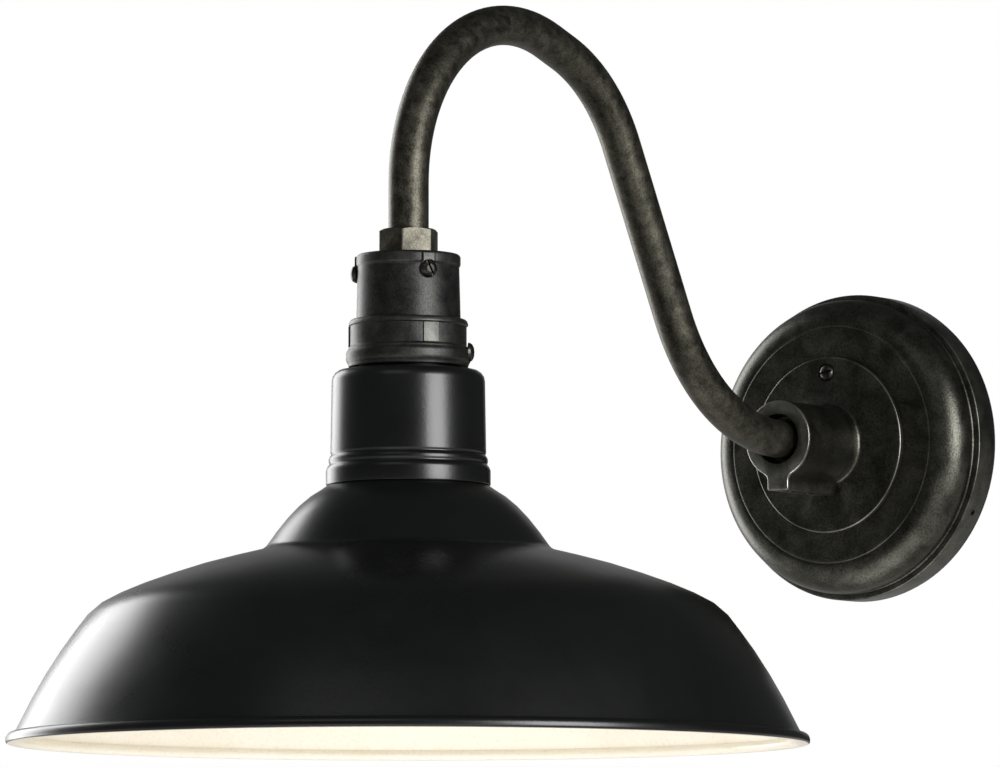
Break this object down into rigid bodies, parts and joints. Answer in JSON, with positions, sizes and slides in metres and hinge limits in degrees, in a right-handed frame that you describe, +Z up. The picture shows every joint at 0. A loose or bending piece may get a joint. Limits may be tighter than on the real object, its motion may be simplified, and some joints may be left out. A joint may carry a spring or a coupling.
{
  "type": "outdoor wall lantern",
  "caption": "Gooseneck barn light for an outdoor wall: cast round backplate, bent tube arm, socket cap and a wide enamelled dome shade.",
  "frame": {"origin": "centre of the backplate on the wall plane, on the axis of the arm's socket", "axes": "+Z up, +Y into the wall, the arm reaches out along -Y"},
  "size_m": [0.3556, 0.5438, 0.3385],
  "materials": {
    "cast_aluminium_patina": "rubbed dark patina",
    "tube_patina": "rubbed dark bronze",
    "satin_black_casting": "satin",
    "black_enamel": "glossy outside, warm white inside",
    "zinc_steel": "zinc plated",
    "porcelain": "glazed",
    "brass": "bare",
    "gasket_rubber": "matte",
    "nylon": "moulded",
    "lead_black": "insulation",
    "lead_white": "insulation",
    "lead_green": "insulation"
  },
  "bodies": {
    "wall_plate": {"backplate": "cast_aluminium_patina", "wall_gasket": "gasket_rubber", "mounting_strap": "zinc_steel", "plate_screw": "cast_aluminium_patina", "locating_stud": "zinc_steel", "ground_screw": "zinc_steel", "arm_flange": "cast_aluminium_patina"},
    "arm": {"gooseneck_arm": "tube_patina", "wall_end_bushing": "nylon", "head_end_bushing": "nylon", "hex_coupling_nut": "tube_patina", "inner_locknut": "zinc_steel", "socket_cap": "satin_black_casting", "cap_screw_1": "zinc_steel", "cap_screw_2": "zinc_steel", "cap_screw_3": "zinc_steel", "shade_holder": "satin_black_casting", "lampholder_bracket": "zinc_steel", "lampholder_body": "porcelain", "screw_shell": "brass", "centre_contact": "brass", "lampholder_screw_left": "zinc_steel", "lampholder_screw_right": "zinc_steel", "terminal_plate_left": "zinc_steel", "terminal_plate_right": "brass", "terminal_screw_left": "zinc_steel", "terminal_screw_right": "brass", "bracket_ground_screw": "zinc_steel", "shade_seal": "gasket_rubber", "shade_neck": "black_enamel", "shade_reflector": "black_enamel", "live_lead": "lead_black", "neutral_lead": "lead_white", "ground_lead": "lead_green", "live_connector": "lead_black", "neutral_connector": "lead_white", "ground_connector": "lead_green"},
    "set_screw_front": {"arm_set_screw_front": "zinc_steel"},
    "set_screw_rear": {"arm_set_screw_rear": "zinc_steel"},
    "shade_screw_right": {"shade_screw_right": "zinc_steel"},
    "shade_screw_left": {"shade_screw_left": "zinc_steel"}
  },
  "joints": [
    {"name": "arm_turn", "type": "hinge", "parent": "wall_plate", "child": "arm", "pos_m": [0, -0.055, 0], "axis": [0, 1, 0], "range_deg": [-90, 90]},
    {"name": "front_set_screw_travel", "type": "slide", "parent": "wall_plate", "child": "set_screw_front", "axis": [0, 0, -1], "range_m": [0, 0.004]},
    {"name": "rear_set_screw_travel", "type": "slide", "parent": "wall_plate", "child": "set_screw_rear", "axis": [0, 0, -1], "range_m": [0, 0.004]},
    {"name": "right_shade_screw_travel", "type": "slide", "parent": "arm", "child": "shade_screw_right", "axis": [0.866, 0.5, 0], "range_m": [0, 0.004]},
    {"name": "left_shade_screw_travel", "type": "slide", "parent": "arm", "child": "shade_screw_left", "axis": [-0.866, 0.5, 0], "range_m": [0, 0.004]}
  ]
}
